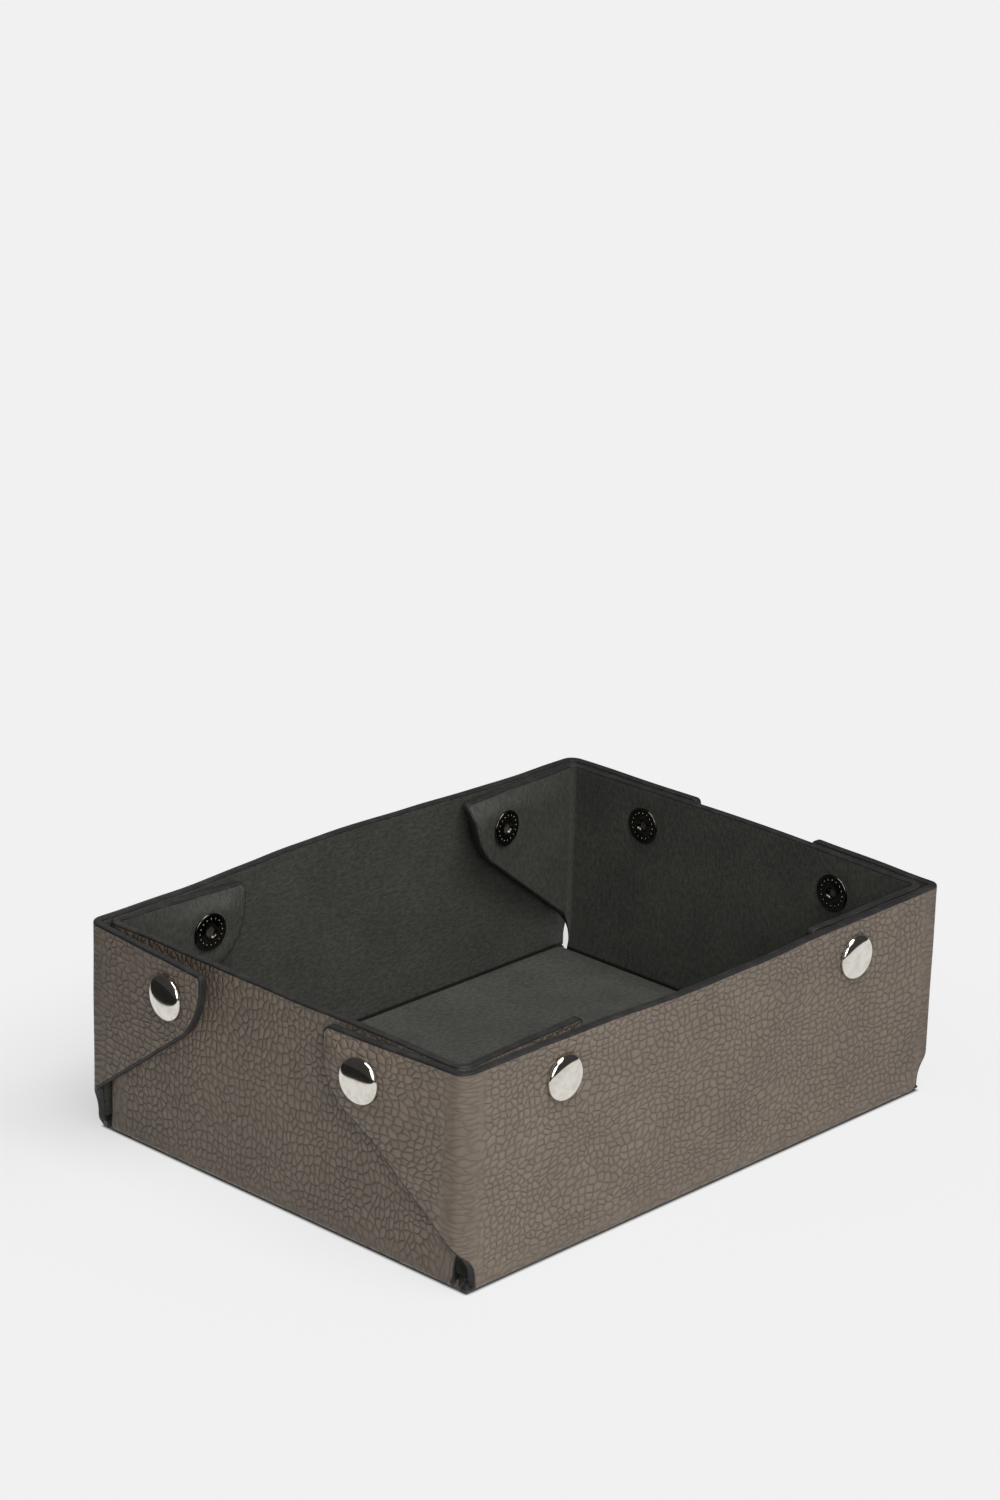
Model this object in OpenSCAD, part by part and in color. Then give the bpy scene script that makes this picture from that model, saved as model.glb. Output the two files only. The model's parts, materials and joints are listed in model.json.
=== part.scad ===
// Snap-corner leather tray. A cross-shaped sheet of pebbled leather, lined on the inside, is folded up
// into four walls. At each corner one wall's end flap wraps round the outside and the next wall's
// flap lies inside, and two press studs hold each corner.
// X runs along the long walls, Y along the short walls, +Z up. The origin is the middle of the underside.

/* [Tray] */
// Outer length, measured over the corner bends of the long walls
tray_l = 186; // [150:1:240]
// Outer width, measured over the long walls
tray_w = 136; // [110:1:180]
// Height of the walls
tray_h = 60; // [54:1:80]

/* [Leather] */
// Thickness of the pebbled outer leather
leather_t = 1.2; // [0.8:0.1:1.6]
// Thickness of the smooth lining
lining_t = 1.2; // [0.8:0.1:1.6]

/* [Base] */
// Thickness of the stiffening board between leather and lining
board_t = 0.8; // [0.4:0.1:1.6]
// Distance from the inside of the walls to the edge of the board
board_inset = 1.6; // [1:0.2:4]

/* [Folds] */
// Inside radius of the fold between base and walls
fold_inner_r = 0.2; // [0.1:0.1:2]
// Inside radius of the upright bends at the ends of the walls
bend_inner_r = 1.6; // [0.6:0.1:3]
// Space between the outer and the inner layer right at a corner
corner_gap = 0.6; // [0.4:0.1:1]
// Slit left in a fold where two moving panels meet
split_gap = 0.2; // [0.1:0.05:0.4]

/* [Corner opening] */
// Radius of the round cut at the foot of each end of a long wall
outer_relief_r = 7.6; // [7:0.1:9]
// Height of the centre of that cut above the table
outer_relief_z = 3.6; // [3:0.1:4.2]
// Radius of the round cut at the foot of each end of a short wall
inner_relief_r = 11.3; // [10.5:0.1:12.5]
// Height of the centre of that cut above the table
inner_relief_z = 5; // [4.4:0.1:5.4]

/* [Flaps] */
// Length of a flap from the corner to its tip
flap_len = 47; // [44:1:54]
// Height at which a flap's lower edge meets the corner
flap_heel = 10.4; // [9:0.1:13]
// Distance from the upper edge to where the lower edge would meet the tip if it ran straight on
flap_tip_h = 14.2; // [13:0.1:17]
// Radius where the lower edge turns up into the tip
flap_belly_r = 20; // [8:1:22]
// Radius of the upper corner of the tip
flap_tip_r = 1.5; // [1:0.5:5]
// Drop of the upper edge from the corner to the tip
flap_drop = 1; // [0:0.1:2]

/* [Snap placing] */
// Distance of each snap from its corner
snap_from_corner = 33; // [31:0.5:35]
// Distance of the snaps below the upper edge
snap_drop = 11; // [10:0.5:13]
// How far the nub of a stud reaches into its socket
engage = 0.8; // [0.5:0.1:0.9]

/* [Snap cap] */
// Diameter of the domed cap
cap_d = 12.5; // [11:0.1:14]
// Height of the cap over the leather
cap_h = 2.3; // [1.6:0.1:3]
// Height of the straight rim under the dome
cap_rim = 0.5; // [0.3:0.1:0.8]
// Diameter of the post behind the cap
post_d = 3; // [2:0.1:3.2]
// Diameter of the post's rolled end inside the socket
roll_d = 4.2; // [3.8:0.1:5]
// Thickness of the rolled end
roll_t = 0.25; // [0.2:0.05:0.3]

/* [Snap socket] */
// Height of the socket
socket_h = 1.9; // [1.8:0.1:2.4]
// Thickness of the socket's floor
socket_floor = 0.4; // [0.3:0.05:0.45]
// Thickness of the socket round its mouth
socket_wall = 1.6; // [1.4:0.1:2]
// Free play round the nub inside the mouth
snap_play = 1.5; // [1.4:0.05:1.8]
// Diameter of the spring wire
wire_d = 0.5; // [0.3:0.05:0.6]

/* [Snap stud] */
// Diameter of the stud's flange
stud_d = 10; // [8:0.1:11]
// Thickness of the stud's flange
stud_flange = 0.6; // [0.4:0.05:0.8]
// Diameter of the nub
nub_d = 3.8; // [3.4:0.1:4.2]
// Height of the nub above the flange
nub_h = 1.6; // [1.5:0.1:2]

/* [Snap eyelet] */
// Diameter of the ring that shows inside the tray
eyelet_d = 10.6; // [9:0.1:12]
// Height of the ring over the lining
eyelet_h = 0.8; // [0.5:0.1:1.2]
// Diameter of the mouth in the middle of the ring
eyelet_mouth_d = 3.4; // [2.8:0.1:4]
// Outer diameter of the tube that goes through the leather
tube_d = 2.7; // [2.4:0.1:2.8]
// Bore of that tube
tube_bore_d = 2.1; // [1.6:0.1:2.2]

/* [Hidden] */

// Colours of the materials
taupe = [0.50, 0.46, 0.42];
charcoal = [0.24, 0.25, 0.24];
grey_board = [0.62, 0.58, 0.52];
nickel = [0.80, 0.79, 0.77];
black_nickel = [0.20, 0.20, 0.21];
spring_steel = [0.66, 0.66, 0.68];

// Half sizes of the outside of the walls, and of the inner corner where the short walls turn
sheet_t = leather_t + lining_t;
half_l = tray_l / 2;
half_w = tray_w / 2;
wall_x = half_l - sheet_t - corner_gap;
turn_y = half_w - sheet_t - corner_gap;
fold_r = fold_inner_r + sheet_t;
bend_r = bend_inner_r + sheet_t;

// The snap between two layers pushes them apart, so each flap leans off its wall by the flare
stud_h = stud_flange + nub_h;
flare = asin((stud_h + socket_h - engage - corner_gap) / snap_from_corner);
outer_turn = 90 - flare;
inner_turn = 90 + flare;
outer_run = bend_r * tan(outer_turn / 2);
inner_run = bend_r * tan(inner_turn / 2);
// Angle at which a flap's lower edge rises from the corner
flap_slope = atan((tray_h - flap_tip_h - flap_heel) / flap_len);
slit_turn = asin(split_gap / 2 / bend_r);
fold_slit_turn = asin(split_gap / 2 / fold_r);

// Snaps: height, place on the long walls and place on the short walls
snap_z = tray_h - snap_drop;
nub_depth = sheet_t + socket_h - engage;
long_snap_x = wall_x - snap_from_corner * cos(flare) - stud_h * sin(flare);
short_snap_y = half_w - snap_from_corner * cos(flare) - nub_depth * sin(flare);
mouth_d = nub_d + 2 * snap_play;
socket_d = mouth_d + 2 * socket_wall;
groove_d = mouth_d + 2 * wire_d;
// An outer flap leaves its stud sideways, so its spring wires lie along that way
spring_turn = atan2(snap_from_corner, snap_z);

// How far beyond the end of a wall the centre of its round cut lies, so that on the flat sheet the cut
// runs straight on into the lower edge of the flap
function relief_reach(r, z, turn) =
    bend_r * (turn * PI / 180 - 2 * tan(turn / 2)) + (r / cos(flap_slope) + z - flap_heel) / tan(flap_slope);
// Room between a rivet and its hole
rivet_clear = 0.1;
// Extra length of a cutting body past the surfaces that it cuts
past = 1;
smooth = 64;

function arc(centre, r, from, to, steps = 12) =
    [for (i = [0:steps]) let (a = from + (to - from) * i / steps) centre + r * [cos(a), sin(a)]];

function reverse(points) = [for (i = [len(points) - 1 : -1 : 0]) points[i]];

// Outline of a flap seen square on: x along the flap from the corner, y up.
// Past the corner it runs on level, to take in the flap's half of the bend.
function flap_outline() =
    let (belly_z = flap_heel + flap_len * tan(flap_slope) + flap_belly_r * tan((90 - flap_slope) / 2))
    concat(
        [[-bend_r, flap_heel], [0, flap_heel]],
        arc([flap_len - flap_belly_r, belly_z], flap_belly_r, flap_slope - 90, 0),
        arc([flap_len - flap_tip_r, tray_h - flap_drop - flap_tip_r], flap_tip_r, 0, 90, 6),
        [[0, tray_h], [-bend_r, tray_h]]);

// Path of the sheet in plan at one depth under its outside: from the slit in the bend to the tip of a flap
function flap_path(depth, turn) =
    let (run = bend_r * tan(turn / 2))
    concat(arc([run, -bend_r], bend_r - depth, 90 + turn / 2 - slit_turn, 90), [[flap_len + past, -depth]]);

// The same path along a wall, from the slit in one bend to the slit in the other
function wall_path(depth, half_len, turn) =
    let (flat = half_len - bend_r * tan(turn / 2), r = bend_r - depth)
    concat(
        arc([-flat, bend_r], r, slit_turn - 90 - turn / 2, -90),
        arc([flat, bend_r], r, -90, turn / 2 - 90 - slit_turn));

// Path in section at one depth from the slit in the fold at the foot of a wall up to a height
function foot_path(depth, slit, top) =
    concat(arc([fold_r, fold_r], fold_r - depth, 225 - slit, 180, 6), [[depth, top]]);

// Section of the bowl that the base makes with its half of two opposite folds, down to one depth.
// It is closed at the top by straight lines through points at a radius from the centres of the folds.
function bowl_section(depth, half_len, slit, closing_r, rise) =
    let (flat = half_len - fold_r, r = fold_r - depth)
    concat(
        arc([-flat, fold_r], r, 225 + slit, 270, 6),
        arc([flat, fold_r], r, 270, 315 - slit, 6),
        [[flat, fold_r] + closing_r * [cos(315 - slit), sin(315 - slit)]],
        rise > 0 ? [[flat, fold_r + rise], [-flat, fold_r + rise]] : [],
        [[-flat, fold_r] + closing_r * [cos(225 + slit), sin(225 + slit)]]);

// A prism of an outline drawn in x and z, reaching from y = from to y = to
module upright_prism(points, from, to) {
    translate([0, to, 0]) rotate([90, 0, 0]) linear_extrude(height = to - from) polygon(points);
}
// A prism of a section drawn in y and z, reaching the same way to both sides of x = 0
module long_prism(points, half_len) {
    translate([-half_len, 0, 0]) rotate([90, 0, 90]) linear_extrude(height = 2 * half_len) polygon(points);
}
module both_ends() {
    children();
    mirror([1, 0, 0]) children();
}

// A hole for a rivet through an upright panel that lies along X
module rivet_hole(x, z, d) {
    translate([x, 0, z]) rotate([90, 0, 0])
        cylinder(d = d + 2 * rivet_clear, h = 4 * sheet_t, center = true, $fn = smooth);
}
// The round cut at the foot of a wall end at x = end, through a panel that lies along X
module relief_cut(end, r, z, turn) {
    translate([end - relief_reach(r, z, turn), 0, z]) rotate([90, 0, 0])
        cylinder(r = r, h = 4 * bend_r, center = true, $fn = 2 * smooth);
}

// One layer of a flap, drawn along +X from the corner, with its outside in the plane y = 0
module flap_layer(from, to, turn, hole_d) {
    difference() {
        intersection() {
            linear_extrude(height = tray_h)
                polygon(concat(flap_path(from, turn), reverse(flap_path(to, turn))));
            upright_prism(flap_outline(), -2 * bend_r, past);
        }
        rivet_hole(snap_from_corner, snap_z, hole_d);
    }
}

// One layer of a wall, drawn along X, with its outside in the plane y = 0 and the inside towards +Y.
// Each end has half of a bend and the foot has half of the fold into the base.
module wall_layer(from, to, half_len, turn, foot_slit, snap_x, hole_d, relief_r, relief_z) {
    foot_top = fold_r + past;
    difference() {
        union() {
            translate([0, 0, fold_r]) linear_extrude(height = tray_h - fold_r)
                polygon(concat(wall_path(from, half_len, turn), reverse(wall_path(to, half_len, turn))));
            long_prism(concat(foot_path(from, foot_slit, foot_top), reverse(foot_path(to, foot_slit, foot_top))),
                half_len);
        }
        both_ends() {
            rivet_hole(-snap_x, snap_z, hole_d);
            relief_cut(-half_len, relief_r, relief_z, turn);
        }
    }
}

// A bowl with the base's half of the fold along its four sides, which meet at the corners
module base_bowl(depth, closing_r, rise) {
    intersection() {
        long_prism(bowl_section(depth, half_w, fold_slit_turn, closing_r, rise), wall_x);
        rotate([0, 0, 90]) long_prism(bowl_section(depth, wall_x, 0, closing_r, rise), half_w);
    }
}
// One layer of the base
module base_layer(from, to) {
    difference() {
        base_bowl(from, (fold_r - to) / 2, 0);
        base_bowl(to, 0, past);
    }
}

// Places: right = 1 and back = 1 take a piece of the left front corner to the other corners
module at_corner(right, back) {
    mirror([right, 0, 0]) mirror([0, back, 0]) children();
}
module on_outer_flap(right, back) {
    at_corner(right, back) translate([-half_l, -half_w, 0]) rotate([0, 0, 90 + flare]) children();
}
module on_inner_flap(right, back) {
    at_corner(right, back) translate([-wall_x, -turn_y, 0]) rotate([0, 0, flare]) mirror([0, 1, 0]) children();
}
module on_long_wall(back) {
    mirror([0, back, 0]) translate([0, -half_w, 0]) children();
}
module on_short_wall(right) {
    mirror([right, 0, 0]) translate([-wall_x, 0, 0]) rotate([0, 0, -90]) children();
}
// The seat of a snap, with Z pointing out of the leather
module flap_snap() {
    translate([snap_from_corner, 0, snap_z]) rotate([-90, 0, 0]) children();
}
module wall_snaps(snap_x) {
    both_ends() translate([-snap_x, 0, snap_z]) rotate([90, 0, 0]) children();
}

// Panels of the folded sheet
module long_wall(back, from, to) {
    on_long_wall(back) wall_layer(from, to, half_l, outer_turn, fold_slit_turn, long_snap_x, post_d,
        outer_relief_r, outer_relief_z);
}
module short_wall(right, from, to) {
    on_short_wall(right) wall_layer(from, to, turn_y, inner_turn, 0, short_snap_y, tube_d,
        inner_relief_r, inner_relief_z);
}
module outer_flap(right, back, from, to) {
    on_outer_flap(right, back) flap_layer(from, to, outer_turn, post_d);
}
module inner_flap(right, back, from, to) {
    on_inner_flap(right, back) flap_layer(from, to, inner_turn, tube_d);
}

module base_board() {
    board_x = wall_x - sheet_t - board_inset;
    board_y = half_w - sheet_t - board_inset;
    color(grey_board) translate([-board_x, -board_y, leather_t]) cube([2 * board_x, 2 * board_y, board_t]);
}
module base_leather() {
    color(taupe) base_layer(0, leather_t);
}
// The lining lies over the board, which lifts it into a flat raised panel inside a narrow border
module base_lining() {
    board_x = wall_x - sheet_t - board_inset;
    board_y = half_w - sheet_t - board_inset;
    wrap = lining_t / 2;
    color(charcoal) difference() {
        union() {
            base_layer(leather_t, sheet_t);
            translate([-board_x - wrap, -board_y - wrap, leather_t])
                cube([2 * (board_x + wrap), 2 * (board_y + wrap), lining_t + board_t]);
        }
        translate([-board_x, -board_y, leather_t - past]) cube([2 * board_x, 2 * board_y, board_t + past]);
    }
}
module wall_leather(back) {
    color(taupe) long_wall(back, 0, leather_t);
}
module wall_lining(back) {
    color(charcoal) long_wall(back, leather_t, sheet_t);
}
module end_leather(right) {
    color(taupe) short_wall(right, 0, leather_t);
}
module end_lining(right) {
    color(charcoal) short_wall(right, leather_t, sheet_t);
}
module outer_leather(right, back) {
    color(taupe) outer_flap(right, back, 0, leather_t);
}
module outer_lining(right, back) {
    color(charcoal) outer_flap(right, back, leather_t, sheet_t);
}
module inner_leather(right, back) {
    color(taupe) inner_flap(right, back, 0, leather_t);
}
module inner_lining(right, back) {
    color(charcoal) inner_flap(right, back, leather_t, sheet_t);
}

// Domed cap whose post goes through the leather and is rolled over inside the socket
module snap_cap() {
    dome_h = cap_h - cap_rim;
    dome_r = (cap_d * cap_d / 4 + dome_h * dome_h) / (2 * dome_h);
    post_len = sheet_t + socket_floor + roll_t;
    color(nickel) {
        intersection() {
            translate([0, 0, cap_h - dome_r]) sphere(r = dome_r, $fn = 2 * smooth);
            cylinder(d = cap_d, h = cap_h + past, $fn = smooth);
        }
        translate([0, 0, -post_len]) cylinder(d = post_d, h = post_len + cap_rim, $fn = smooth);
        translate([0, 0, -post_len]) cylinder(d = roll_d, h = roll_t, $fn = smooth);
    }
}

// Cup behind the leather, with a groove for the spring inside its mouth
module snap_socket() {
    spring_depth = socket_h - engage;
    groove_half = wire_d / 2 + rivet_clear;
    rim_round = 0.3;
    color(nickel) translate([0, 0, -sheet_t]) rotate_extrude($fn = smooth) polygon([
        [post_d / 2 + rivet_clear, 0],
        [socket_d / 2, 0],
        [socket_d / 2, rim_round - socket_h],
        [socket_d / 2 - rim_round, -socket_h],
        [mouth_d / 2, -socket_h],
        [mouth_d / 2, -spring_depth - groove_half],
        [groove_d / 2 + rivet_clear, -spring_depth - groove_half],
        [groove_d / 2 + rivet_clear, -spring_depth + groove_half],
        [mouth_d / 2, -spring_depth + groove_half],
        [mouth_d / 2, -socket_floor],
        [post_d / 2 + rivet_clear, -socket_floor]]);
}

// Bent flat wire in the socket's groove: two straight legs hold the nub, one bow joins them
module snap_spring() {
    leg_y = nub_d / 2 + rivet_clear + wire_d / 2;
    outer_r = mouth_d / 2 + wire_d;
    inner_r = mouth_d / 2;
    outer_turn_off = asin((leg_y + wire_d / 2) / outer_r);
    inner_turn_off = asin((leg_y - wire_d / 2) / inner_r);
    tail_end = 160;
    color(spring_steel) translate([0, 0, -sheet_t - socket_h + engage - wire_d / 2])
        linear_extrude(height = wire_d) polygon(concat(
            arc([0, 0], outer_r, tail_end, 180 - outer_turn_off, 3),
            arc([0, 0], outer_r, outer_turn_off, -outer_turn_off, 10),
            arc([0, 0], outer_r, outer_turn_off - 180, -tail_end, 3),
            arc([0, 0], inner_r, -tail_end, inner_turn_off - 180, 3),
            arc([0, 0], inner_r, -inner_turn_off, inner_turn_off, 10),
            arc([0, 0], inner_r, 180 - inner_turn_off, tail_end, 3)));
}

// Flange with a hollow waisted nub, on the outer side of the leather
module snap_stud() {
    bore = tube_d / 2 + rivet_clear;
    neck = nub_d / 2 - 0.2;
    edge = 0.2;
    crown = 0.4;
    top = stud_flange + nub_h;
    color(nickel) rotate_extrude($fn = smooth) polygon([
        [bore, 0],
        [stud_d / 2, 0],
        [stud_d / 2, stud_flange - edge],
        [stud_d / 2 - edge, stud_flange],
        [neck, stud_flange],
        [neck, stud_flange + nub_h / 5],
        [nub_d / 2, stud_flange + nub_h / 2],
        [nub_d / 2, top - crown],
        [nub_d / 2 - crown, top],
        [0, top],
        [0, top - crown],
        [bore, top - crown]]);
}

// Ring on the lining whose tube goes through the leather into the stud
module snap_eyelet() {
    ring_r = eyelet_d / 2;
    mouth_r = eyelet_mouth_d / 2;
    tube_len = sheet_t + stud_flange + nub_h / 2;
    edge = eyelet_h / 2;
    color(black_nickel) translate([0, 0, -sheet_t]) mirror([0, 0, 1]) rotate_extrude($fn = smooth) polygon(concat(
        [[tube_d / 2, 0], [ring_r, 0]],
        arc([ring_r - edge, eyelet_h - edge], edge, 0, 90, 5),
        arc([mouth_r + edge, eyelet_h - edge], edge, 90, 150, 4),
        [[tube_bore_d / 2, 0], [tube_bore_d / 2, -tube_len], [tube_d / 2, -tube_len]]));
}

// Named pieces of the walls
module front_wall_leather() { wall_leather(0); }
module front_wall_lining() { wall_lining(0); }
module back_wall_leather() { wall_leather(1); }
module back_wall_lining() { wall_lining(1); }
module left_wall_leather() { end_leather(0); }
module left_wall_lining() { end_lining(0); }
module right_wall_leather() { end_leather(1); }
module right_wall_lining() { end_lining(1); }

// Named pieces of the flaps: the first word names the wall that carries the flap
module front_left_flap_leather() { outer_leather(0, 0); }
module front_left_flap_lining() { outer_lining(0, 0); }
module front_right_flap_leather() { outer_leather(1, 0); }
module front_right_flap_lining() { outer_lining(1, 0); }
module back_left_flap_leather() { outer_leather(0, 1); }
module back_left_flap_lining() { outer_lining(0, 1); }
module back_right_flap_leather() { outer_leather(1, 1); }
module back_right_flap_lining() { outer_lining(1, 1); }
module left_front_flap_leather() { inner_leather(0, 0); }
module left_front_flap_lining() { inner_lining(0, 0); }
module left_back_flap_leather() { inner_leather(0, 1); }
module left_back_flap_lining() { inner_lining(0, 1); }
module right_front_flap_leather() { inner_leather(1, 0); }
module right_front_flap_lining() { inner_lining(1, 0); }
module right_back_flap_leather() { inner_leather(1, 1); }
module right_back_flap_lining() { inner_lining(1, 1); }

// Snap parts on the long walls
module front_wall_caps() { on_long_wall(0) wall_snaps(long_snap_x) snap_cap(); }
module front_wall_sockets() { on_long_wall(0) wall_snaps(long_snap_x) snap_socket(); }
module front_wall_springs() { on_long_wall(0) wall_snaps(long_snap_x) snap_spring(); }
module back_wall_caps() { on_long_wall(1) wall_snaps(long_snap_x) snap_cap(); }
module back_wall_sockets() { on_long_wall(1) wall_snaps(long_snap_x) snap_socket(); }
module back_wall_springs() { on_long_wall(1) wall_snaps(long_snap_x) snap_spring(); }

// Snap parts on the outer flaps
module front_left_flap_cap() { on_outer_flap(0, 0) flap_snap() snap_cap(); }
module front_left_flap_socket() { on_outer_flap(0, 0) flap_snap() snap_socket(); }
module front_left_flap_spring() {
    on_outer_flap(0, 0) flap_snap() rotate([0, 0, spring_turn]) snap_spring();
}
module front_right_flap_cap() { on_outer_flap(1, 0) flap_snap() snap_cap(); }
module front_right_flap_socket() { on_outer_flap(1, 0) flap_snap() snap_socket(); }
module front_right_flap_spring() {
    on_outer_flap(1, 0) flap_snap() rotate([0, 0, spring_turn]) snap_spring();
}
module back_left_flap_cap() { on_outer_flap(0, 1) flap_snap() snap_cap(); }
module back_left_flap_socket() { on_outer_flap(0, 1) flap_snap() snap_socket(); }
module back_left_flap_spring() {
    on_outer_flap(0, 1) flap_snap() rotate([0, 0, spring_turn]) snap_spring();
}
module back_right_flap_cap() { on_outer_flap(1, 1) flap_snap() snap_cap(); }
module back_right_flap_socket() { on_outer_flap(1, 1) flap_snap() snap_socket(); }
module back_right_flap_spring() {
    on_outer_flap(1, 1) flap_snap() rotate([0, 0, spring_turn]) snap_spring();
}

// Studs and eyelets on the short walls
module left_wall_studs() { on_short_wall(0) wall_snaps(short_snap_y) snap_stud(); }
module left_wall_eyelets() { on_short_wall(0) wall_snaps(short_snap_y) snap_eyelet(); }
module right_wall_studs() { on_short_wall(1) wall_snaps(short_snap_y) snap_stud(); }
module right_wall_eyelets() { on_short_wall(1) wall_snaps(short_snap_y) snap_eyelet(); }

// Studs and eyelets on the inner flaps
module left_front_flap_stud() { on_inner_flap(0, 0) flap_snap() snap_stud(); }
module left_front_flap_eyelet() { on_inner_flap(0, 0) flap_snap() snap_eyelet(); }
module left_back_flap_stud() { on_inner_flap(0, 1) flap_snap() snap_stud(); }
module left_back_flap_eyelet() { on_inner_flap(0, 1) flap_snap() snap_eyelet(); }
module right_front_flap_stud() { on_inner_flap(1, 0) flap_snap() snap_stud(); }
module right_front_flap_eyelet() { on_inner_flap(1, 0) flap_snap() snap_eyelet(); }
module right_back_flap_stud() { on_inner_flap(1, 1) flap_snap() snap_stud(); }
module right_back_flap_eyelet() { on_inner_flap(1, 1) flap_snap() snap_eyelet(); }

base_board();
base_leather();
base_lining();
front_wall_leather();
front_wall_lining();
back_wall_leather();
back_wall_lining();
left_wall_leather();
left_wall_lining();
right_wall_leather();
right_wall_lining();
front_left_flap_leather();
front_left_flap_lining();
front_right_flap_leather();
front_right_flap_lining();
back_left_flap_leather();
back_left_flap_lining();
back_right_flap_leather();
back_right_flap_lining();
left_front_flap_leather();
left_front_flap_lining();
left_back_flap_leather();
left_back_flap_lining();
right_front_flap_leather();
right_front_flap_lining();
right_back_flap_leather();
right_back_flap_lining();
front_wall_caps();
front_wall_sockets();
front_wall_springs();
back_wall_caps();
back_wall_sockets();
back_wall_springs();
front_left_flap_cap();
front_left_flap_socket();
front_left_flap_spring();
front_right_flap_cap();
front_right_flap_socket();
front_right_flap_spring();
back_left_flap_cap();
back_left_flap_socket();
back_left_flap_spring();
back_right_flap_cap();
back_right_flap_socket();
back_right_flap_spring();
left_wall_studs();
left_wall_eyelets();
right_wall_studs();
right_wall_eyelets();
left_front_flap_stud();
left_front_flap_eyelet();
left_back_flap_stud();
left_back_flap_eyelet();
right_front_flap_stud();
right_front_flap_eyelet();
right_back_flap_stud();
right_back_flap_eyelet();
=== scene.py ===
import json
from math import cos, exp, pi, radians, sin, sqrt, tan
import bmesh
import bpy
from mathutils import Matrix, Vector, noise
from mathutils.bvhtree import BVHTree


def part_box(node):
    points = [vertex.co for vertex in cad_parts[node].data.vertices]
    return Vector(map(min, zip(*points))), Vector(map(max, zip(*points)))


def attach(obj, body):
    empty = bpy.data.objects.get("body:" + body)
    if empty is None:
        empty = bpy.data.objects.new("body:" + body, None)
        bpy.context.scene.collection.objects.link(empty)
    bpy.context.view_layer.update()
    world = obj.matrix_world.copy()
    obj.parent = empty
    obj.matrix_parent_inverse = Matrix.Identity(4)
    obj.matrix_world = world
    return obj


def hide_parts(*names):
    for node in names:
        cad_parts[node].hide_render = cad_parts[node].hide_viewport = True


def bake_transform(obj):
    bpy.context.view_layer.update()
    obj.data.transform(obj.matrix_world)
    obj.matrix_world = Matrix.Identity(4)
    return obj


# Leather valet tray: one lined sheet folded up into four walls, held at each corner by two press studs.
# Lengths below are millimetres, and each finished mesh is scaled to metres.
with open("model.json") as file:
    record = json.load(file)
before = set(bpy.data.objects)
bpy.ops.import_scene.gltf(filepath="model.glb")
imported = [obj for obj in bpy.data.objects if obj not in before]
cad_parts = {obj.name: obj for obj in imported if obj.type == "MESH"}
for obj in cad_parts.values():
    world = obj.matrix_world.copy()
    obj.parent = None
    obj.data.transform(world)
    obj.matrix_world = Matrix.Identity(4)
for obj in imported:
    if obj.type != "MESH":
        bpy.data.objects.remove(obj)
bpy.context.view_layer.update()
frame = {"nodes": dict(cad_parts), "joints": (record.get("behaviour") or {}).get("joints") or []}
mm = 0.001

# Sizes that every piece shares, read from the frame where it has them
longWallBox = [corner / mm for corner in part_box("front_wall_leather")]
shortWallBox = [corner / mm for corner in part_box("left_wall_leather")]
flapTurn = next(j["range_deg"][1] for j in frame["joints"] if j["name"] == "front_left_flap_open")
tray = {
    "height": longWallBox[1].z,
    "longWallY": -longWallBox[0].y,      # outer face of the long walls
    "shortWallX": -shortWallBox[0].x,    # outer face of the short walls
    "sheet": 2.4,                        # leather and lining together
    "cornerGap": 0.6,                    # between the two layers right at a corner
    "board": 0.8,                        # lifts the lining over the base
    "boardBorder": 0.55,                 # gap between the raised base and the walls
    "bendRadius": 4.0,                   # outside of the upright bends
    "foldRadius": 2.6,                   # outside of the folds at the foot
}
tray["cornerX"] = tray["shortWallX"] + tray["sheet"] + tray["cornerGap"]
tray["cornerY"] = tray["longWallY"] - tray["sheet"] - tray["cornerGap"]
seamX = tray["shortWallX"] - tray["sheet"] - tray["boardBorder"]
seamY = tray["longWallY"] - tray["sheet"] - tray["boardBorder"]


def smoothStep(value, low, high):
    share = min(max((value - low) / (high - low), 0), 1)
    return share * share * (3 - 2 * share)


# Camera, set where the photograph was taken from
cameraSet = {
    "azimuth": -47.103,      # degrees from straight in front
    "elevation": 19.922,
    "distance": 1166.6,
    "across": -4.39,         # moves the tray sideways in the picture
    "up": 96.50,             # and down
    "roll": 1.764,
    "focalPixels": 4323.3,
    "photoHeight": 1500,
    "sensor": 36,
    "clip": (0.05, 50),
}


def placeCamera():
    turn = radians(cameraSet["azimuth"])
    tilt = radians(cameraSet["elevation"])
    roll = radians(cameraSet["roll"])
    back = Vector((sin(turn) * cos(tilt), -cos(turn) * cos(tilt), sin(tilt)))
    level = Vector((cos(turn), sin(turn), 0))
    upright = back.cross(level)
    right = cos(roll) * level + sin(roll) * upright
    up = -sin(roll) * level + cos(roll) * upright
    data = bpy.data.cameras.new("camera")
    data.sensor_width = cameraSet["sensor"]
    data.lens = cameraSet["sensor"] * cameraSet["focalPixels"] / cameraSet["photoHeight"]
    data.clip_start, data.clip_end = cameraSet["clip"]
    camera = bpy.data.objects.new("camera", data)
    camera.matrix_world = Matrix((right, up, back)).transposed().to_4x4()
    spot = back * cameraSet["distance"] + right * cameraSet["across"] + up * cameraSet["up"]
    camera.location = spot * mm
    bpy.context.scene.collection.objects.link(camera)
    bpy.context.scene.camera = camera


placeCamera()
print("camera placed")


# Material helpers: a node is made with its settings, and each socket gets a value or another node's output
def addNode(tree, kind, sockets=None, **settings):
    node = tree.nodes.new(kind)
    for name, value in settings.items():
        setattr(node, name, value)
    for name, value in (sockets or {}).items():
        if isinstance(value, bpy.types.NodeSocket):
            tree.links.new(value, node.inputs[name])
        else:
            node.inputs[name].default_value = value
    return node


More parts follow.
